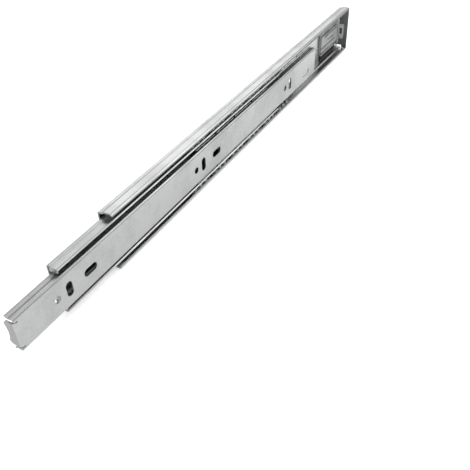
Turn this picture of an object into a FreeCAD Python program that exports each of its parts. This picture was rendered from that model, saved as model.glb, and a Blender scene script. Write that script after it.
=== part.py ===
import FreeCAD, Part
import math
import os

# Full-extension ball-bearing drawer slide, side mounted: three nested steel channels, two sets of
# ball cages, a plastic detent and a release lever. Millimetres.
# X runs along the slide: the drawer pulls out towards -X. +Z is up.
# The cabinet face is the plane y = 0 and the drawer face is y = -slide_thickness. Depths are
# distances from the cabinet face towards the drawer. The origin is the middle of the cabinet face.

# ---- driving dimensions -------------------------------------------------------------------------
cabinet_length = 400.0
drawer_length = 398.0
intermediate_length = 285.0
slide_height = 45.5
slide_thickness = 12.7
cabinet_sheet = 1.2
intermediate_sheet = 1.0
drawer_sheet = 1.2
ball_diameter = 3.97
ball_clearance = 0.055
race_relief = 0.115

# How far each member stands out in front of its closed place, as modelled, and at full travel.
drawer_extension = 88.0
intermediate_extension = 52.0
intermediate_full_travel = 155.0
drawer_full_travel = 400.0

# Cross-section of the cabinet member
lip_setback = 0.5
lip_turn = 66.0
cabinet_corner = 1.2
shoulder_drop = 1.15
step_bend = 1.5
step_place = 4.3

# Cross-section of the intermediate member
intermediate_depth = 2.6
ridge_rise = 0.83
member_corner = 1.3
band_before_ball = 1.75
lip_after_ball = 0.2
intermediate_lip_bend = 45.0
cage_stop_depths = (4.3, 10.2)
cage_stop_gap = 0.35

# Cross-section of the drawer member
ball_row_offset = 0.6
drawer_groove_drop = 0.37
drawer_lip_bend = 60.0

# End tabs: tongues of the web, bent square across the channel
tab_bend = 1.7
tab_notch = 0.9
tab_notch_length = 2.8
tab_corner = 2.5
drawer_tab_half = 9.25
drawer_tab_gap = 0.8
drawer_tab_waist = 1.3
drawer_tab_waist_half = 6.5
intermediate_tab_half = 8.75
tab_gap = 2.0
rear_wall_half = 18.4
rear_wall_setback = 0.5
rear_wall_flare_start = 6.2
rear_wall_flare_gap = 0.5
rear_window_depths = (3.2, 6.0)
rear_window_heights = (-6.0, 0.5)
flange_setback = 0.6
stop_gap = 0.3

# Screw openings, given from the front end of the member that has them
slot_width = 5.4
tall_slot_height = 10.6
long_slot_length = 11.6
screw_hole = 5.0
drawer_hole_places = (32.0, 182.0, 332.0)
drawer_tall_slot_places = (42.0, 192.0, 342.0)
drawer_long_slot_places = (61.0, 211.0)
tongue_fronts = (32.0, 107.0, 257.0)
tongue_length = 37.0
tongue_half = 8.2
tongue_slit = 3.3
tongue_outer_corner = 4.0
tongue_inner_corner = 1.5
tongue_tall_slot = 12.0
tongue_long_slot = 29.0
outside_slot = 48.0
tongues_with_outside_slot = 2
cabinet_tall_slot_height = 7.6
cabinet_long_slot_length = 10.4
front_hole = 6.0
front_hole_place = 9.5
access_hole = 10.0
access_hole_places = (70.0, 145.0, 220.0)

# Travel stops of the intermediate member
stop_window = (6.0, 5.0)
stop_window_place = 6.0
stop_window_low = 14.3
stop_tab_rise = 1.0
stop_lug_rise = 0.9
stop_lug_length = 3.0
stop_lug_height = 1.8

# Ball cages
cage_sheet = 0.5
cage_bend = 0.75
pocket_clearance = 0.12
cage_segment = 28.9
cage_notch = 2.2
balls_in_segment = 3
ball_pitch = 7.3
outer_cage_segments = 6
outer_cage_start = 3.6
outer_cage_lip_gap = 0.4
inner_cage_segments = 4
inner_cage_web_gap = 0.4
inner_cage_rim = 0.6
inner_cage_rear_gap = 5.4

# Rear detent
detent_start = 347.0
detent_end = 396.0
detent_base = 0.8
detent_heights = (-12.0, 10.4)
detent_arms = (348.0, 389.5)
detent_arm_heights = (-9.4, 7.2)
detent_arm_top = 3.6
detent_corner = 2.0
detent_arm_corner = 1.2
detent_slits = ((355.0, 392.0, 5.3), (364.0, 378.0, -0.4), (346.0, 383.0, -4.8))
detent_slit = 1.3
detent_rail = (347.5, 380.0)
detent_rail_heights = (-12.0, -10.4)
detent_rail_top = 3.8
detent_peg = 3.0
detent_peg_end = 0.2
detent_peg_clearance = 0.1
detent_peg_place = 392.0
detent_peg_spread = 7.9
rear_slot_length = 9.0
rear_slot_width = 4.4
detent_nub_reach = 14.0
detent_nub_width = 5.0
detent_nub_rise = 0.4
detent_nub_from_rear = 21.0
detent_nub_height = -4.0

# Guide strip, end buffer and its frame at the rear
guide_places = (350.0, 387.0)
guide_heights = (-19.6, -12.3)
guide_top = 2.4
guide_rib = 0.8
guide_corner = 0.8
buffer_clearance = 0.05
buffer_frame_depths = (2.35, 7.4)
buffer_frame_heights = (-11.0, 4.5)
buffer_frame_rise = 0.6
buffer_frame_corner = 0.6

# Release lever, pinned inside the drawer member
lever_sheet = 1.5
lever_gap = 0.2
lever_length = 62.0
lever_half = 4.2
lever_corner = 3.5
lever_pivot_tail = 6.0
lever_nose_length = 5.0
lever_nose_height = 2.0
lever_nose_gap = 0.15
lever_nose_overlap = 2.1
lever_pivot_reach = 24.0
lever_rim = 0.8
lever_ribs = 4
lever_rib_place = 4.0
lever_rib_pitch = 2.4
lever_rib_width = 1.0
lever_rib_half = 3.0
rivet_shank = 2.6
rivet_head = 5.0
rivet_head_height = 0.7
rivet_clearance = 0.05

# ---- places worked out from them ----------------------------------------------------------------
ball_radius = ball_diameter / 2
race_radius = ball_radius + race_relief
half_height = slide_height / 2
cabinet_front = -cabinet_length / 2
cabinet_rear = cabinet_length / 2
closed_front_gap = drawer_sheet + stop_gap
drawer_front = cabinet_front - drawer_extension
intermediate_front = cabinet_front + closed_front_gap - intermediate_extension
intermediate_rear = intermediate_front + intermediate_length

outer_race_top = half_height - cabinet_sheet
outer_ball_height = outer_race_top - ball_clearance - ball_radius
intermediate_band = outer_ball_height - ball_radius - ball_clearance
inner_ball_height = intermediate_band - intermediate_sheet - ball_clearance - ball_radius
drawer_groove = inner_ball_height - ball_radius - ball_clearance

lip_depth = slide_thickness - lip_setback
outer_ball_depth = lip_depth - cabinet_sheet - race_radius
inner_ball_depth = outer_ball_depth - ball_row_offset
ridge_height = intermediate_band + ridge_rise
drawer_web_inside = slide_thickness - drawer_sheet
drawer_tab_end = intermediate_depth + intermediate_sheet + drawer_tab_gap
intermediate_tab_end = drawer_web_inside - tab_gap
rear_wall_end = lip_depth - rear_wall_setback


def vec(x, y, z):
    return FreeCAD.Vector(x, y, z)


def box(x_low, x_high, depth_low, depth_high, z_low, z_high):
    """A box between two depths, counted from the cabinet face."""
    corner = vec(x_low, -depth_high, z_low)
    return Part.makeBox(x_high - x_low, depth_high - depth_low, z_high - z_low, corner)


def pin(x, z, diameter, depth_low, depth_high):
    """A round bar across the slide."""
    start = vec(x, -depth_low, z)
    return Part.makeCylinder(diameter / 2, depth_high - depth_low, start, vec(0, -1, 0))


def rounded_bar(x_low, x_high, z_low, z_high, corner, depth_low, depth_high):
    """A bar across the slide whose outline in X and Z has round corners."""
    bar = box(x_low, x_high, depth_low, depth_high, z_low, z_high)
    limit = min(x_high - x_low, z_high - z_low) / 2 - 0.01
    across = [edge for edge in bar.Edges if abs(edge.tangentAt(edge.FirstParameter).y) > 0.9]
    return bar.makeFillet(min(corner, limit), across)


def slot(x, z, along_x, along_z, depth_low, depth_high):
    """A slot with round ends, centred on x and z."""
    half_x = along_x / 2
    half_z = along_z / 2
    corner = min(half_x, half_z)
    return rounded_bar(x - half_x, x + half_x, z - half_z, z + half_z, corner, depth_low, depth_high)


def bent_strip(start, heading, moves, thickness, place):
    """The face of a sheet seen edge on. It follows a line made of straights and bends, and place
    turns the two coordinates of the drawing into a point in space. Bends to the left are positive."""
    here = FreeCAD.Vector(start[0], start[1], 0)
    angle = math.radians(heading)
    left_edges = []
    right_edges = []

    def offset(point, direction, distance):
        side = FreeCAD.Vector(-math.sin(direction), math.cos(direction), 0)
        return point + side * distance

    def line(first, last):
        return Part.makeLine(place(first.x, first.y), place(last.x, last.y))

    first_caps = [offset(here, angle, side * thickness / 2) for side in (1, -1)]
    for kind, size, turn in moves:
        if kind == "straight":
            there = here + FreeCAD.Vector(math.cos(angle), math.sin(angle), 0) * size
            for edges, side in ((left_edges, 1), (right_edges, -1)):
                shift = side * thickness / 2
                edges.append(line(offset(here, angle, shift), offset(there, angle, shift)))
            here = there
            continue
        sweep = math.radians(turn)
        way = 1 if sweep > 0 else -1
        centre = offset(here, angle, way * size)
        for edges, side in ((left_edges, 1), (right_edges, -1)):
            distance = way * -(size - way * side * thickness / 2)
            points = [offset(centre, angle + sweep * part, distance) for part in (0, 0.5, 1)]
            edges.append(Part.Arc(*[place(point.x, point.y) for point in points]).toShape())
        here = offset(centre, angle + sweep, -way * size)
        angle = angle + sweep
    last_caps = [offset(here, angle, side * thickness / 2) for side in (1, -1)]
    edges = left_edges + [line(*last_caps)] + right_edges[::-1] + [line(*first_caps)]
    return Part.Face(Part.Wire(Part.__sortEdges__(edges)))


def straight(length):
    return ("straight", length, 0)


def bend(radius, turn):
    return ("bend", radius, turn)


def channel(x_low, x_high, web_depth, moves, thickness):
    """A channel: the upper half of its section, mirrored in the middle plane."""
    face = bent_strip((web_depth, 0), 90, moves, thickness, lambda depth, z: vec(x_low, -depth, z))
    upper = face.extrude(vec(x_high - x_low, 0, 0))
    lower = upper.mirror(vec(0, 0, 0), vec(0, 0, 1))
    return upper.fuse(lower).removeSplitter()


def end_tab(x_end, towards, web_depth, tab_end, half, thickness):
    """The tongue that closes the end of a channel. It leaves the web towards the end of the
    member, turns square, and stops at the depth tab_end. towards is -1 at a front end."""
    reach = tab_bend + thickness / 2
    flat = tab_notch_length - reach
    rise = abs(tab_end - web_depth) - tab_bend
    turn = 90 if (tab_end - web_depth) * towards > 0 else -90
    start = (x_end - towards * tab_notch_length, web_depth)
    heading = 0 if towards > 0 else 180
    moves = [straight(flat), bend(tab_bend, turn), straight(rise)]
    face = bent_strip(start, heading, moves, thickness, lambda x, depth: vec(x, -depth, -half))
    tab = face.extrude(vec(0, 0, 2 * half))
    corners = [edge for edge in tab.Edges if is_tab_corner(edge, tab_end, half)]
    return tab.makeFillet(tab_corner, corners)


def is_tab_corner(edge, tab_end, half):
    ends = [vertex.Point for vertex in edge.Vertexes]
    return all(abs(p.y + tab_end) < 0.01 and abs(abs(p.z) - half) < 0.01 for p in ends) and (
        abs(ends[0].z - ends[1].z) < 0.01)


def add_end_tab(member, x_end, towards, web_depth, tab_end, half, thickness):
    """Cuts the end of a web back past its notches and joins the tab to it."""
    wide = half + tab_notch
    inner = x_end - towards * tab_notch_length
    x_low = min(x_end + towards, inner)
    x_high = max(x_end + towards, inner)
    relief = rounded_bar(x_low, x_high, -wide, wide, tab_notch / 2,
                         web_depth - thickness, web_depth + thickness)
    tab = end_tab(x_end, towards, web_depth, tab_end, half, thickness)
    return member.cut(relief).fuse(tab).removeSplitter()


def cut_all(member, tools):
    return member.cut(Part.makeCompound(tools)) if tools else member


# ---- the three members --------------------------------------------------------------------------
def cabinet_member():
    """The outer channel, screwed to the cabinet wall."""
    web = cabinet_sheet / 2
    shoulder = half_height - cabinet_sheet / 2 - shoulder_drop
    rise = math.degrees(math.acos(1 - shoulder_drop / (2 * step_bend)))
    half_run = step_bend * math.sin(math.radians(rise))
    moves = [
        straight(shoulder - cabinet_corner),
        bend(cabinet_corner, -90),
        straight(step_place - half_run - web - cabinet_corner),
        bend(step_bend, rise),
        bend(step_bend, -rise),
        straight(outer_ball_depth - half_run - step_place),
        bend(race_radius + cabinet_sheet / 2, -lip_turn),
    ]
    body = channel(cabinet_front, cabinet_rear, web, moves, cabinet_sheet)

    through = (-1, cabinet_sheet + 1)
    tools = [pin(cabinet_front + front_hole_place, 0, front_hole, *through)]
    for number, front in enumerate(tongue_fronts):
        start = cabinet_front + front
        tools.append(tongue_slit_tool(start, through))
        tools.append(slot(start + tongue_tall_slot, 0, slot_width, cabinet_tall_slot_height, *through))
        tools.append(slot(start + tongue_long_slot, 0, cabinet_long_slot_length, slot_width, *through))
        if number < tongues_with_outside_slot:
            place = start + outside_slot
            tools.append(slot(place, 0, cabinet_long_slot_length, slot_width, *through))
    peg_place = cabinet_front + detent_peg_place
    for side in (1, -1):
        hole = detent_peg + 2 * detent_peg_clearance
        tools.append(pin(peg_place, side * detent_peg_spread, hole, *through))
        tools.append(stop_window_tool(side, through))
    tools.append(slot(peg_place - rear_slot_length / 4, 0, rear_slot_length, rear_slot_width, *through))
    body = add_end_tab(body, cabinet_rear, 1, web, rear_wall_end, rear_wall_half, cabinet_sheet)
    flare = half_height - cabinet_sheet - rear_wall_flare_gap
    body = body.fuse(box(cabinet_rear - cabinet_sheet, cabinet_rear, rear_wall_flare_start,
                         rear_wall_end, -flare, flare))
    tools.append(box(cabinet_rear - cabinet_sheet - 1, cabinet_rear + 1, *rear_window_depths,
                     *rear_window_heights))
    body = cut_all(body, tools)
    for side in (1, -1):
        body = body.fuse(stop_tab(side))
    return body.removeSplitter()


def tongue_slit_tool(start, through):
    """The U-shaped slit that frees a mounting tongue on three sides. It is open to the rear."""
    end = start + tongue_length
    half = tongue_half + tongue_slit
    around = rounded_bar(start, end, -half, half, tongue_outer_corner, *through)
    around = around.fuse(box(end - tongue_outer_corner, end, *through, -half, half))
    inside = rounded_bar(start + tongue_slit, end + tongue_length, -tongue_half, tongue_half,
                         tongue_inner_corner, *through)
    return around.cut(inside)


def stop_window_tool(side, through):
    x_low = cabinet_front + stop_window_place
    z_low = stop_window_low if side > 0 else -stop_window_low - stop_window[1]
    return box(x_low, x_low + stop_window[0], *through, z_low, z_low + stop_window[1])


def stop_tab(side):
    """The small lug pushed inwards at the front edge of a stop window."""
    x_high = cabinet_front + stop_window_place
    z_low = stop_window_low if side > 0 else -stop_window_low - stop_window[1] / 2
    depths = (cabinet_sheet / 2, cabinet_sheet + stop_tab_rise)
    return box(x_high - cabinet_sheet, x_high, *depths, z_low, z_low + stop_window[1] / 2)


def intermediate_member():
    """The middle channel. Its flanges carry both sets of balls."""
    web = intermediate_depth + intermediate_sheet / 2
    ridge = ridge_height - intermediate_sheet / 2
    drop = math.degrees(math.acos(1 - ridge_rise / (2 * step_bend)))
    run = 2 * step_bend * math.sin(math.radians(drop))
    band_start = outer_ball_depth - band_before_ball
    moves = [
        straight(ridge - member_corner),
        bend(member_corner, -90),
        straight(band_start - run - member_corner - web),
        bend(step_bend, -drop),
        bend(step_bend, drop),
        straight(outer_ball_depth + lip_after_ball - band_start),
        bend(race_radius + intermediate_sheet / 2, -intermediate_lip_bend),
    ]
    front = intermediate_front
    body = channel(front + flange_setback, intermediate_rear, web, moves, intermediate_sheet)
    body = add_end_tab(body, front, -1, web, intermediate_tab_end, intermediate_tab_half,
                       intermediate_sheet)
    through = (intermediate_depth - 1, intermediate_depth + intermediate_sheet + 1)
    tools = [pin(front + place, 0, access_hole, *through) for place in access_hole_places]
    body = cut_all(body, tools)
    for side in (1, -1):
        body = body.fuse(stop_lug(side)).fuse(cage_stop(side))
    return body.removeSplitter()


def cage_stop(side):
    """The ear that closes the front end of a ball race, clear of the drawer member's lip."""
    x_low = intermediate_front + flange_setback
    lip_top = inner_ball_height - race_radius * math.cos(math.radians(drawer_lip_bend))
    heights = sorted((side * (lip_top + cage_stop_gap), side * (intermediate_band - intermediate_sheet / 2)))
    return box(x_low, x_low + intermediate_sheet, *cage_stop_depths, *heights)


def stop_lug(side):
    """Meets the stop tab of the cabinet member when the intermediate member is right out."""
    travel_left = intermediate_full_travel - intermediate_extension
    x_low = cabinet_front + stop_window_place + stop_gap + travel_left
    middle = side * (stop_window_low + stop_window[1] / 4)
    depths = (intermediate_depth - stop_lug_rise, intermediate_depth + intermediate_sheet / 2)
    z_low = middle - stop_lug_height / 2
    return box(x_low, x_low + stop_lug_length, *depths, z_low, z_low + stop_lug_height)


def drawer_member():
    """The inner channel, screwed to the side of the drawer."""
    web = slide_thickness - drawer_sheet / 2
    groove = race_radius + drawer_sheet / 2
    groove_line = drawer_groove - drawer_sheet / 2
    flange = groove_line + drawer_groove_drop
    dip = math.degrees(math.acos(1 - drawer_groove_drop / (groove + step_bend)))
    run = (groove + step_bend) * math.sin(math.radians(dip))
    moves = [
        straight(flange - member_corner),
        bend(member_corner, 90),
        straight(web - member_corner - run - inner_ball_depth),
        bend(step_bend, dip),
        bend(groove, -(dip + drawer_lip_bend)),
    ]
    body = channel(drawer_front + flange_setback, drawer_front + drawer_length, web, moves,
                   drawer_sheet)
    body = add_end_tab(body, drawer_front, -1, web, drawer_tab_end, drawer_tab_half, drawer_sheet)
    waist = (drawer_tab_waist_half ** 2 + drawer_tab_waist ** 2) / (2 * drawer_tab_waist)
    centre = vec(drawer_front - 1, waist - drawer_tab_waist - drawer_tab_end, 0)
    body = body.cut(Part.makeCylinder(waist, drawer_sheet + 2, centre, vec(1, 0, 0)))

    through = (drawer_web_inside - 1, slide_thickness + 1)
    tools = [pin(drawer_front + place, 0, screw_hole, *through) for place in drawer_hole_places]
    for place in drawer_tall_slot_places:
        tools.append(slot(drawer_front + place, 0, slot_width, tall_slot_height, *through))
    for place in drawer_long_slot_places:
        tools.append(slot(drawer_front + place, 0, long_slot_length, slot_width, *through))
    tools.append(pin(lever_pivot[0], lever_pivot[1], rivet_shank + 2 * rivet_clearance, *through))
    tools.append(detent_nub(slide_thickness - detent_nub_rise, slide_thickness + 1))
    body = cut_all(body, tools)
    inside = (drawer_web_inside - detent_nub_rise, drawer_web_inside + drawer_sheet / 4)
    return body.fuse(detent_nub(*inside)).removeSplitter()


def detent_nub(depth_low, depth_high):
    """The pressed dimple near the rear end, which the detent holds when the drawer is shut."""
    place = drawer_front + drawer_length - detent_nub_from_rear
    return slot(place, detent_nub_height, detent_nub_reach, detent_nub_width, depth_low, depth_high)


# ---- balls and their cages ----------------------------------------------------------------------
def ball_places(x_low, segments):
    """Each segment of a cage holds a short group of balls in its middle."""
    first = x_low + (cage_segment - cage_notch - (balls_in_segment - 1) * ball_pitch) / 2
    return [first + segment * cage_segment + number * ball_pitch
            for segment in range(segments) for number in range(balls_in_segment)]


def ball_row(places, depth, z):
    return Part.makeCompound([Part.makeSphere(ball_radius, vec(x, -depth, z)) for x in places])


def pockets(places, depth, z):
    """Upright holes in a cage, one around each ball."""
    radius = ball_radius + pocket_clearance
    low = z - ball_radius
    return [Part.makeCylinder(radius, ball_diameter, vec(x, -depth, low)) for x in places]


def notches(x_low, segments, depth_low, depth_high, z_low, z_high):
    """Gaps in the edge of a cage, between one segment and the next."""
    fronts = [x_low + number * cage_segment - cage_notch for number in range(1, segments)]
    return [box(x, x + cage_notch, depth_low, depth_high, z_low, z_high) for x in fronts]


outer_cage_length = outer_cage_segments * cage_segment - cage_notch
inner_cage_length = inner_cage_segments * cage_segment - cage_notch
outer_cage_front = (cabinet_front + closed_front_gap + intermediate_length - outer_cage_length
                    - intermediate_extension / 2)
inner_cage_front = (cabinet_front + closed_front_gap + intermediate_length - inner_cage_rear_gap
                    - inner_cage_length - (drawer_extension + intermediate_extension) / 2)
outer_ball_places = ball_places(outer_cage_front, outer_cage_segments)
inner_ball_places = ball_places(inner_cage_front, inner_cage_segments)


def outer_cage(side):
    """A flat strip between the flanges of the cabinet and intermediate members."""
    z = side * outer_ball_height
    depths = (outer_cage_start, lip_depth - cabinet_sheet - outer_cage_lip_gap)
    strip = box(outer_cage_front, outer_cage_front + outer_cage_length, *depths,
                z - cage_sheet / 2, z + cage_sheet / 2)
    tools = pockets(outer_ball_places, outer_ball_depth, z)
    tools += notches(outer_cage_front, outer_cage_segments, outer_ball_depth, lip_depth,
                     z - cage_sheet, z + cage_sheet)
    return cut_all(strip, tools)


def inner_cage():
    """One U-shaped strip between the intermediate and drawer members."""
    web_low = intermediate_depth + intermediate_sheet + inner_cage_web_gap
    x_low = inner_cage_front
    web = web_low + cage_sheet / 2
    edge = inner_ball_depth + ball_radius + pocket_clearance + inner_cage_rim
    moves = [
        straight(inner_ball_height - cage_bend),
        bend(cage_bend, -90),
        straight(edge - web - cage_bend),
    ]
    body = channel(x_low, x_low + inner_cage_length, web, moves, cage_sheet)
    for side in (1, -1):
        z = side * inner_ball_height
        tools = pockets(inner_ball_places, inner_ball_depth, z)
        tools += notches(x_low, inner_cage_segments, inner_ball_depth, slide_thickness,
                         z - cage_sheet, z + cage_sheet)
        body = cut_all(body, tools)
    return body


# ---- detent at the rear of the cabinet member ---------------------------------------------------
def rear_detent():
    """A moulded clip pegged to the web: springy arms between slits, and a rail along its low side."""
    base_top = cabinet_sheet + detent_base
    ends = (cabinet_front + detent_start, cabinet_front + detent_end)
    arms = [cabinet_front + place for place in detent_arms]
    rail = [cabinet_front + place for place in detent_rail]
    body = rounded_bar(*ends, *detent_heights, detent_corner, cabinet_sheet, base_top)
    body = body.fuse(rounded_bar(*arms, *detent_arm_heights, detent_arm_corner, base_top,
                                 detent_arm_top))
    body = body.fuse(box(*rail, base_top, detent_rail_top, *detent_rail_heights))
    for front, rear, height in detent_slits:
        body = body.cut(box(cabinet_front + front, cabinet_front + rear, base_top, detent_arm_top,
                            height - detent_slit / 2, height + detent_slit / 2))
    for side in (1, -1):
        body = body.fuse(pin(cabinet_front + detent_peg_place, side * detent_peg_spread, detent_peg,
                             detent_peg_end, cabinet_sheet))
    return body.removeSplitter()


def rear_guide_strip():
    """The dark strip between the detent and the lower flange, with a rib along its middle."""
    places = [cabinet_front + place for place in guide_places]
    low, high = guide_heights
    body = rounded_bar(*places, low, high, guide_corner, cabinet_sheet, guide_top)
    middle = (low + high) / 2
    rib = (middle - guide_rib / 2, middle + guide_rib / 2)
    inset = (places[0] + guide_rib, places[1] - guide_rib)
    return body.fuse(box(*inset, guide_top, guide_top + guide_rib, *rib)).removeSplitter()


def rear_buffer():
    """The plug in the window of the end wall, flush with the frame around it."""
    depth_low, depth_high = rear_window_depths
    z_low, z_high = rear_window_heights
    x_low = cabinet_rear - cabinet_sheet - buffer_frame_rise
    return box(x_low, cabinet_rear, depth_low + buffer_clearance, depth_high - buffer_clearance,
               z_low + buffer_clearance, z_high - buffer_clearance)


def rear_buffer_frame():
    """The frame on the inside of the end wall, around the buffer."""
    x_high = cabinet_rear - cabinet_sheet
    x_low = x_high - buffer_frame_rise
    frame = box(x_low, x_high, *buffer_frame_depths, *buffer_frame_heights)
    corners = [edge for edge in frame.Edges if abs(edge.tangentAt(edge.FirstParameter).x) > 0.9]
    frame = frame.makeFillet(buffer_frame_corner, corners)
    return frame.cut(box(x_low - 1, x_high + 1, *rear_window_depths, *rear_window_heights))


# ---- release lever ------------------------------------------------------------------------------
def lever_places():
    """The nose stops behind the tab of the intermediate member when the drawer is right out."""
    travel_left = (drawer_full_travel - drawer_extension) - (
        intermediate_full_travel - intermediate_extension)
    nose_front = intermediate_front + intermediate_sheet + stop_gap + travel_left
    nose_top = -(intermediate_tab_half - lever_nose_height - lever_nose_gap)
    pivot_x = nose_front + lever_pivot_reach
    return nose_front, nose_top, (pivot_x, 0.0)


lever_nose_front, lever_nose_top, lever_pivot = lever_places()
lever_back = drawer_web_inside - lever_gap
lever_nose_depth = intermediate_tab_end - lever_nose_overlap
lever_face = lever_back - lever_sheet


def release_lever():
    """A thin plate beside the web, with a latch nose, a rim and a finger pad."""
    pivot_x, pivot_z = lever_pivot
    x_high = pivot_x + lever_pivot_tail
    x_low = x_high - lever_length
    body = rounded_bar(x_low, x_high, -lever_half, lever_half, lever_corner, lever_face,
                       lever_back)
    nose_low = lever_nose_top - lever_nose_height
    nose_high = lever_nose_front + lever_nose_length
    body = body.fuse(box(lever_nose_front, nose_high, lever_nose_depth, lever_back, nose_low,
                         lever_nose_top))
    body = body.fuse(box(lever_nose_front, nose_high, lever_face, lever_back, nose_low, 0))
    for number in range(lever_ribs):
        x = x_low + lever_rib_place + number * lever_rib_pitch
        body = body.fuse(box(x, x + lever_rib_width, lever_face - lever_rim / 2, lever_back,
                             -lever_rib_half, lever_rib_half))
    return body.cut(pin(pivot_x, pivot_z, rivet_shank + 2 * rivet_clearance, 0, slide_thickness))


def lever_rivet():
    """Holds the lever to the web. Its drawer end is flush with the drawer face."""
    x, z = lever_pivot
    shank = pin(x, z, rivet_shank, lever_face - rivet_clearance, slide_thickness)
    head_top = lever_face - rivet_clearance
    return shank.fuse(pin(x, z, rivet_head, head_top - rivet_head_height, head_top))


def save(name, shape):
    os.makedirs("parts", exist_ok=True)
    shape.exportStep(os.path.join("parts", name + ".step"))
    box_ = shape.BoundBox
    print(f"{name:24s} solids {len(shape.Solids)} valid {shape.isValid()} volume {shape.Volume:.1f} "
          f"x {box_.XMin:.2f}..{box_.XMax:.2f} y {box_.YMin:.2f}..{box_.YMax:.2f} "
          f"z {box_.ZMin:.2f}..{box_.ZMax:.2f}")


save("cabinet_member", cabinet_member())
save("rear_detent", rear_detent())
save("rear_guide_strip", rear_guide_strip())
save("rear_buffer", rear_buffer())
save("rear_buffer_frame", rear_buffer_frame())
save("intermediate_member", intermediate_member())
save("drawer_member", drawer_member())
for side, name in ((1, "upper"), (-1, "lower")):
    save(name + "_outer_ball_cage", outer_cage(side))
    save(name + "_outer_balls", ball_row(outer_ball_places, outer_ball_depth, side * outer_ball_height))
    save(name + "_inner_balls", ball_row(inner_ball_places, inner_ball_depth, side * inner_ball_height))
save("inner_ball_cage", inner_cage())
save("release_lever", release_lever())
save("lever_rivet", lever_rivet())
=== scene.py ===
import bpy
import numpy as np
from mathutils import Matrix, Vector


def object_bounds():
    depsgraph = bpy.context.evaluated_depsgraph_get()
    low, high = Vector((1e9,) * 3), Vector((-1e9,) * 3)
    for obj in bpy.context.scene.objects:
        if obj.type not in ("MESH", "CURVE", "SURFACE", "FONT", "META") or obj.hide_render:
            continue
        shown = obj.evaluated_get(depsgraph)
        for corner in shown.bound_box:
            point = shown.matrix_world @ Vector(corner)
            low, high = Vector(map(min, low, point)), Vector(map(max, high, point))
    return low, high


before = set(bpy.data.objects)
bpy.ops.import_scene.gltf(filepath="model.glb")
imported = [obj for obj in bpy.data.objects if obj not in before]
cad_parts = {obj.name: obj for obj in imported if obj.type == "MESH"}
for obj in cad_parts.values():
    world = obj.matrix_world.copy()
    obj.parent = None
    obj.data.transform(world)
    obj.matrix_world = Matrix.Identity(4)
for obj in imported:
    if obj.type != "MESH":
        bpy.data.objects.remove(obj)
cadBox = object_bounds()
print("drawer slide frame loaded:", len(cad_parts), "nodes")


# camera, across the drawer face and a little above the slide
cameraView = {
    "place": (-0.4209, -0.2286, 0.2514),   # metres
    "right": (0.489, -0.872, -0.024),
    "up": (0.564, 0.295, 0.771),
    "lens": 47.15,                         # millimetres
    "sensor": 36.0,
    "clip": (0.01, 20.0),                  # metres
}


def makeCamera(view):
    data = bpy.data.cameras.new("studioCamera")
    data.lens = view["lens"]
    data.sensor_width = view["sensor"]
    data.clip_start, data.clip_end = view["clip"]
    right = Vector(view["right"]).normalized()
    back = right.cross(Vector(view["up"])).normalized()
    up = back.cross(right)
    turn = Matrix((right, up, back)).transposed().to_4x4()
    camera = bpy.data.objects.new("studioCamera", data)
    camera.matrix_world = Matrix.Translation(view["place"]) @ turn
    bpy.context.scene.collection.objects.link(camera)
    bpy.context.scene.camera = camera


makeCamera(cameraView)
print("camera placed")


# colour and node helpers
def linearColour(hexText):
    srgb = np.array([int(hexText[k:k + 2], 16) for k in (1, 3, 5)]) / 255
    linear = np.where(srgb <= 0.04045, srgb / 12.92, ((srgb + 0.055) / 1.055) ** 2.4)
    return (*linear.tolist(), 1.0)


def addNode(tree, kind, settings=None, links=None):
    # settings with a lower-case name belong to the node, the rest are unlinked sockets
    node = tree.nodes.new(kind)
    for key, value in (settings or {}).items():
        if isinstance(key, str) and key[0].islower():
            setattr(node, key, value)
        else:
            node.inputs[key].default_value = value
    for socket, source in (links or {}).items():
        tree.links.new(source, node.inputs[socket])
    return node


def newMaterial(name):
    material = bpy.data.materials.new(name)
    material.use_nodes = True
    tree = material.node_tree
    tree.nodes.clear()
    return material, tree


def finishMaterial(tree, settings, links):
    shader = addNode(tree, "ShaderNodeBsdfPrincipled", settings, links)
    addNode(tree, "ShaderNodeOutputMaterial", {}, {"Surface": shader.outputs[0]})


def useMaterial(nodeNames, material):
    for nodeName in nodeNames:
        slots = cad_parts[nodeName].material_slots
        for slot in slots:
            slot.material = material


def objectPlace(tree, offset, stretch=(1.0, 1.0, 1.0)):
    # a point on the piece in metres, moved and stretched so that pieces don't share one pattern
    coordinates = addNode(tree, "ShaderNodeTexCoord")
    return addNode(tree, "ShaderNodeMapping", {"Location": offset, "Scale": stretch},
                   {"Vector": coordinates.outputs["Object"]}).outputs[0]


def remap(tree, source, low, high, newLow, newHigh, kind="LINEAR"):
    return addNode(tree, "ShaderNodeMapRange",
                   {"interpolation_type": kind, 1: low, 2: high, 3: newLow, 4: newHigh},
                   {0: source}).outputs[0]


def combine(tree, operation, first, second):
    # one Math node, where either side may be a number or a socket
    settings = {"operation": operation}
    links = {}
    for place, value in enumerate((first, second)):
        if isinstance(value, (int, float)):
            settings[place] = value
        else:
            links[place] = value
    return addNode(tree, "ShaderNodeMath", settings, links).outputs[0]


def mixColour(tree, factor, first, second):
    settings = {"data_type": "RGBA"}
    links = {0: factor}
    for place, value in ((6, first), (7, second)):
        if isinstance(value, tuple):
            settings[place] = value
        else:
            links[place] = value
    return addNode(tree, "ShaderNodeMix", settings, links).outputs[2]


# most values of a fine noise texture lie in the first span, and of a broad one in the second
noiseSpan = (0.3, 0.7)
broadNoiseSpan = (0.35, 0.7)


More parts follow.
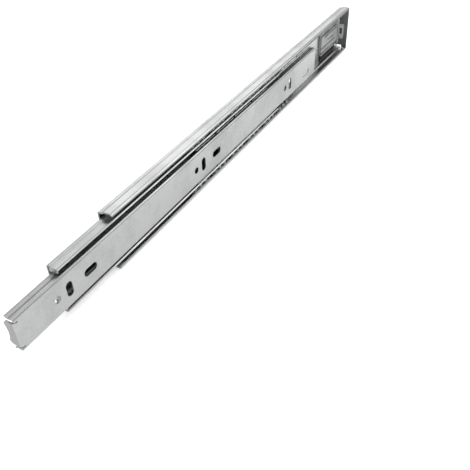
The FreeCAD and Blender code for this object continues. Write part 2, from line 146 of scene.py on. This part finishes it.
# Zinc plated cold-rolled steel: bright and slightly satin, with rolling grain along the slide,
# cloudy patches from the plating bath, and a sheet that is never quite flat.
zincSteelTones = {
    "cabinet_member": {"tone": "#acadad", "cloud": "#a1a2a2", "rough": 0.24,
                       "seed": (0.0, 0.0, 0.0)},
    "intermediate_member": {"tone": "#acadad", "cloud": "#a1a2a2", "rough": 0.22,
                            "seed": (3.1, 0.7, 1.9)},
    "drawer_member": {"tone": "#aaabab", "cloud": "#9fa0a0", "rough": 0.24,
                      "seed": (7.4, 2.3, 5.1)},
    "lever_rivet": {"tone": "#a6a7a7", "cloud": "#9a9b9b", "rough": 0.24,
                    "seed": (1.3, 4.7, 0.2)},
}
zincSteelLook = {                   # lengths in metres
    "grainSpacing": 0.0007,         # coarser than real grain, which is too fine to show
    "grainLength": 0.06,
    "grainDepth": 0.000003,
    "grainStrength": 0.6,
    "grainTint": (0.96, 1.03),
    "grainRough": (-0.03, 0.04),
    "cloudSize": 0.028,
    "cloudSpan": (0.42, 0.66),
    "cloudRough": (-0.04, 0.09),
    "waveSize": 0.045,              # a roll-formed sheet waves over a few centimetres
    "waveDepth": 0.00006,
    "speckSize": 0.0009,
    "speckTint": (0.94, 1.04),
    "cutTone": "#8f9091",           # the grey of sheared ends
    "cutSpan": (0.9, 0.99),
    "cutRough": 0.15,
}


def makeZincSteel(nodeName, tones, look):
    material, tree = newMaterial("zincPlatedColdRolledSteel_" + nodeName)
    place = objectPlace(tree, tones["seed"])
    along = 1 / look["grainLength"]
    across = 1 / look["grainSpacing"]
    grainPlace = objectPlace(tree, tones["seed"], (along, across, across))
    grain = addNode(tree, "ShaderNodeTexNoise", {"Scale": 1.0, "Detail": 3.0, "Roughness": 0.6},
                    {"Vector": grainPlace}).outputs[0]
    cloud = addNode(tree, "ShaderNodeTexNoise",
                    {"Scale": 1 / look["cloudSize"], "Detail": 4.0, "Roughness": 0.55},
                    {"Vector": place}).outputs[0]
    wave = addNode(tree, "ShaderNodeTexNoise",
                   {"Scale": 1 / look["waveSize"], "Detail": 1.0, "Roughness": 0.4},
                   {"Vector": place}).outputs[0]
    speck = addNode(tree, "ShaderNodeTexNoise",
                    {"Scale": 1 / look["speckSize"], "Detail": 2.0, "Roughness": 0.7},
                    {"Vector": place}).outputs[0]

    cloudMask = remap(tree, cloud, *look["cloudSpan"], 0.0, 1.0, "SMOOTHSTEP")
    tint = combine(tree, "MULTIPLY", remap(tree, speck, *noiseSpan, *look["speckTint"]),
                   remap(tree, grain, *noiseSpan, *look["grainTint"]))
    body = mixColour(tree, cloudMask, linearColour(tones["tone"]), linearColour(tones["cloud"]))

    # sheared ends face along the slide
    normal = addNode(tree, "ShaderNodeTexCoord").outputs["Normal"]
    axes = addNode(tree, "ShaderNodeSeparateXYZ", {}, {0: normal})
    cutFace = combine(tree, "ABSOLUTE", axes.outputs[0], 0.0)
    cutMask = remap(tree, cutFace, *look["cutSpan"], 0.0, 1.0)
    shaded = mixColour(tree, cutMask, body, linearColour(look["cutTone"]))
    bright = addNode(tree, "ShaderNodeVectorMath", {"operation": "SCALE"},
                     {0: shaded, "Scale": tint}).outputs[0]

    smooth, worn = (tones["rough"] + change for change in look["cloudRough"])
    rough = combine(tree, "ADD", remap(tree, cloud, *broadNoiseSpan, smooth, worn),
                    remap(tree, grain, *noiseSpan, *look["grainRough"]))
    rough = combine(tree, "ADD", rough, combine(tree, "MULTIPLY", cutMask, look["cutRough"]))

    waveBump = addNode(tree, "ShaderNodeBump",
                       {"Strength": 1.0, "Distance": look["waveDepth"]}, {"Height": wave})
    grainBump = addNode(tree, "ShaderNodeBump",
                        {"Strength": look["grainStrength"], "Distance": look["grainDepth"]},
                        {"Height": grain, "Normal": waveBump.outputs[0]})
    finishMaterial(tree, {"Metallic": 1.0},
                   {"Base Color": bright, "Roughness": rough, "Normal": grainBump.outputs[0]})
    return material


for nodeName, tones in zincSteelTones.items():
    useMaterial([nodeName], makeZincSteel(nodeName, tones, zincSteelLook))
print("zinc plated steel on the three channels and the rivet")


# Cold-rolled strip for the ball cages: thin, greyer than the plated channels, with an oily film.
cageStripLook = {
    "tone": "#a6a7a8",
    "oil": "#7d7e7f",
    "dryRough": 0.42,
    "oiledRough": 0.24,
    "filmSize": 0.006,              # lengths in metres
    "filmSpan": (0.4, 0.65),
    "grainSpacing": 0.0006,
    "grainLength": 0.03,
    "grainDepth": 0.000003,
    "grainStrength": 0.7,
    "seed": (0.4, 2.2, 6.1),
    "grainSeed": (2.0, 0.5, 1.0),
}


def makeCageStrip(look):
    material, tree = newMaterial("coldRolledCageStrip")
    place = objectPlace(tree, look["seed"])
    along = 1 / look["grainLength"]
    across = 1 / look["grainSpacing"]
    grainPlace = objectPlace(tree, look["grainSeed"], (along, across, across))
    film = addNode(tree, "ShaderNodeTexNoise",
                   {"Scale": 1 / look["filmSize"], "Detail": 4.0, "Roughness": 0.6},
                   {"Vector": place}).outputs[0]
    grain = addNode(tree, "ShaderNodeTexNoise", {"Scale": 1.0, "Detail": 2.0},
                    {"Vector": grainPlace}).outputs[0]
    filmMask = remap(tree, film, *look["filmSpan"], 0.0, 1.0, "SMOOTHSTEP")
    colour = mixColour(tree, filmMask, linearColour(look["tone"]), linearColour(look["oil"]))
    rough = remap(tree, film, *broadNoiseSpan, look["dryRough"], look["oiledRough"])
    bump = addNode(tree, "ShaderNodeBump",
                   {"Strength": look["grainStrength"], "Distance": look["grainDepth"]},
                   {"Height": grain})
    finishMaterial(tree, {"Metallic": 1.0},
                   {"Base Color": colour, "Roughness": rough, "Normal": bump.outputs[0]})
    return material


useMaterial(["upper_outer_ball_cage", "lower_outer_ball_cage", "inner_ball_cage"],
            makeCageStrip(cageStripLook))


# Ground and polished bearing steel: near mirror, with a thin smear of grease that dulls spots.
ballSteelLook = {
    "tone": "#8e8f91",
    "grease": "#565654",
    "rough": 0.06,
    "greasedRough": 0.3,
    "smearSize": 0.0016,            # metres
    "smearSpan": (0.5, 0.68),
    "seed": (1.0, 5.0, 2.0),
}


def makeBallSteel(look):
    material, tree = newMaterial("polishedBearingSteel")
    place = objectPlace(tree, look["seed"])
    smear = addNode(tree, "ShaderNodeTexNoise",
                    {"Scale": 1 / look["smearSize"], "Detail": 3.0, "Roughness": 0.5},
                    {"Vector": place}).outputs[0]
    mask = remap(tree, smear, *look["smearSpan"], 0.0, 1.0, "SMOOTHSTEP")
    colour = mixColour(tree, mask, linearColour(look["tone"]), linearColour(look["grease"]))
    rough = remap(tree, mask, 0.0, 1.0, look["rough"], look["greasedRough"])
    finishMaterial(tree, {"Metallic": 1.0}, {"Base Color": colour, "Roughness": rough})
    return material


useMaterial(["upper_outer_balls", "lower_outer_balls", "upper_inner_balls", "lower_inner_balls"],
            makeBallSteel(ballSteelLook))
print("cage strip and ball steel")


# Moulded plastics: the detent's acetal is grey and waxy; its guide strip is the same acetal in
# near-black, a strip whose black paints the shade of the gap under the detent. The lever's nylon is
# black with a fine spark-eroded mould texture, and the buffer is dull rubber.
plasticLooks = {
    "rear_detent": {"name": "mouldedAcetal", "tone": "#909192", "shade": "#7b7c7d", "rough": 0.42,
                    "ior": 1.48, "patchSize": 0.012, "textureSize": 0.0005, "textureDepth": 0.00001,
                    "seed": (0.3, 0.9, 0.1)},
    "release_lever": {"name": "mouldedBlackNylon", "tone": "#1c1c1d", "shade": "#262627",
                      "rough": 0.5, "ior": 1.53, "patchSize": 0.01, "textureSize": 0.0005,
                      "textureDepth": 0.00002, "seed": (4.2, 1.1, 3.3)},
    # near-black strip below the detent: its tone is painted shade for the gap down to the lower
    # flange
    "rear_guide_strip": {"name": "paintedGapShadeBlackAcetal", "tone": "#131314", "shade": "#1d1d1e",
                         "rough": 0.45, "ior": 1.48, "patchSize": 0.009, "textureSize": 0.0005,
                         "textureDepth": 0.00002, "seed": (2.7, 0.4, 5.1)},
    "rear_buffer_frame": {"name": "lightGreyAcetal", "tone": "#c2c3c4", "shade": "#a6a7a7",
                          "rough": 0.4, "ior": 1.48, "patchSize": 0.008, "textureSize": 0.0005,
                          "textureDepth": 0.00001, "seed": (3.9, 2.2, 1.7)},
    "rear_buffer": {"name": "darkRubber", "tone": "#4c4c4d", "shade": "#3f3f40", "rough": 0.7,
                    "ior": 1.52, "patchSize": 0.004, "textureSize": 0.0004,
                    "textureDepth": 0.00003, "seed": (1.3, 6.2, 0.8)},
}
mouldedFinish = {"patchSpan": (0.35, 0.65), "textureRough": (-0.06, 0.08), "textureStrength": 0.5}


def makePlastic(look, finish):
    material, tree = newMaterial(look["name"])
    place = objectPlace(tree, look["seed"])
    patch = addNode(tree, "ShaderNodeTexNoise",
                    {"Scale": 1 / look["patchSize"], "Detail": 3.0, "Roughness": 0.55},
                    {"Vector": place}).outputs[0]
    texture = addNode(tree, "ShaderNodeTexNoise",
                      {"Scale": 1 / look["textureSize"], "Detail": 2.0, "Roughness": 0.6},
                      {"Vector": place}).outputs[0]
    patchMask = remap(tree, patch, *finish["patchSpan"], 0.0, 1.0, "SMOOTHSTEP")
    colour = mixColour(tree, patchMask, linearColour(look["tone"]), linearColour(look["shade"]))
    smooth, dull = (look["rough"] + change for change in finish["textureRough"])
    rough = remap(tree, texture, *noiseSpan, smooth, dull)
    bump = addNode(tree, "ShaderNodeBump",
                   {"Strength": finish["textureStrength"], "Distance": look["textureDepth"]},
                   {"Height": texture})
    finishMaterial(tree, {"IOR": look["ior"]},
                   {"Base Color": colour, "Roughness": rough, "Normal": bump.outputs[0]})
    return material


for nodeName, look in plasticLooks.items():
    useMaterial([nodeName], makePlastic(look, mouldedFinish))
print("moulded plastics")


# Floor, sky and lamps. The floor is opal acrylic: plain and matt, with a faint haze in its gloss.
studioLook = {
    "floorTone": "#f4f4f4",
    "floorRough": (0.85, 0.95),
    "floorGloss": 0.1,
    "hazeScale": 90.0,
    "floorHalf": 4.0,               # metres
    "floorGlow": 0.3,               # light from beneath, so that shadows on the floor stay faint
    "backdrop": 1.1,                # what the camera sees beyond the floor
    # brightness of the surroundings by height: 0 is the horizon and 1 is straight up
    "surround": ((0.0, 0.9), (0.08, 0.45), (0.24, 0.4), (0.42, 0.95), (0.62, 0.8), (1.0, 1.1)),
    "lamps": {
        # place and size in metres, and watts; the first is above and behind the slide
        "rearSoftbox": ((1.0, 0.62, 0.98), 1.2, 5.2),
        "frontSoftbox": ((0.95, -0.75, 0.95), 0.9, 4.0),
        "overheadSoftbox": ((-0.5, -0.3, 1.6), 1.3, 9.0),
        "sideSoftbox": ((-1.5, -0.9, 0.9), 1.0, 4.0),
    },
    "aim": (0.0, 0.0, 0.0),
}


def makeFloor(look):
    low = cadBox[0].z
    half = look["floorHalf"]
    corners = np.array([(-1, -1), (1, -1), (1, 1), (-1, 1)]) * half
    points = np.column_stack([corners, np.full(len(corners), low)])
    mesh = bpy.data.meshes.new("studioFloor")
    mesh.from_pydata(points.tolist(), [], [(0, 1, 2, 3)])
    floor = bpy.data.objects.new("studioFloor", mesh)
    bpy.context.scene.collection.objects.link(floor)
    material, tree = newMaterial("litOpalAcrylic")
    place = objectPlace(tree, (0.0, 0.0, 0.0))
    haze = addNode(tree, "ShaderNodeTexNoise", {"Scale": look["hazeScale"], "Detail": 3.0},
                   {"Vector": place}).outputs[0]
    rough = remap(tree, haze, *noiseSpan, *look["floorRough"])
    tone = linearColour(look["floorTone"])
    finishMaterial(tree, {"Base Color": tone, "Specular IOR Level": look["floorGloss"],
                          "Emission Color": tone, "Emission Strength": look["floorGlow"]},
                   {"Roughness": rough})
    mesh.materials.append(material)


def makeLamp(name, place, size, power, aim):
    data = bpy.data.lights.new(name, "AREA")
    data.shape = "SQUARE"
    data.size = size
    data.energy = power
    lamp = bpy.data.objects.new(name, data)
    lamp.location = place
    lamp.rotation_mode = "QUATERNION"
    lamp.rotation_quaternion = (Vector(aim) - Vector(place)).to_track_quat("-Z", "Y")
    lamp.visible_camera = False
    bpy.context.scene.collection.objects.link(lamp)


def makeSky(look):
    world = bpy.data.worlds.new("softWhiteStudio")
    world.use_nodes = True
    tree = world.node_tree
    tree.nodes.clear()
    direction = addNode(tree, "ShaderNodeTexCoord").outputs["Generated"]
    height = addNode(tree, "ShaderNodeSeparateXYZ", {}, {0: direction}).outputs[2]
    ramp = addNode(tree, "ShaderNodeValToRGB", {}, {0: height})
    top = max(level for _, level in look["surround"])
    elements = ramp.color_ramp.elements
    while len(elements) < len(look["surround"]):
        elements.new(1.0)
    for element, (place, level) in zip(elements, look["surround"]):
        element.position = place
        element.color = (level / top, level / top, level / top, 1.0)
    surround = addNode(tree, "ShaderNodeBackground", {"Strength": top}, {"Color": ramp.outputs[0]})
    backdrop = addNode(tree, "ShaderNodeBackground",
                       {"Color": (1.0, 1.0, 1.0, 1.0), "Strength": look["backdrop"]})
    seen = addNode(tree, "ShaderNodeLightPath").outputs["Is Camera Ray"]
    sky = addNode(tree, "ShaderNodeMixShader", {},
                  {0: seen, 1: surround.outputs[0], 2: backdrop.outputs[0]})
    addNode(tree, "ShaderNodeOutputWorld", {}, {"Surface": sky.outputs[0]})
    bpy.context.scene.world = world


makeFloor(studioLook)
makeSky(studioLook)
for lampName, (place, size, power) in studioLook["lamps"].items():
    makeLamp(lampName, place, size, power, studioLook["aim"])
bpy.context.scene.view_settings.view_transform = "Standard"
print("studio set")
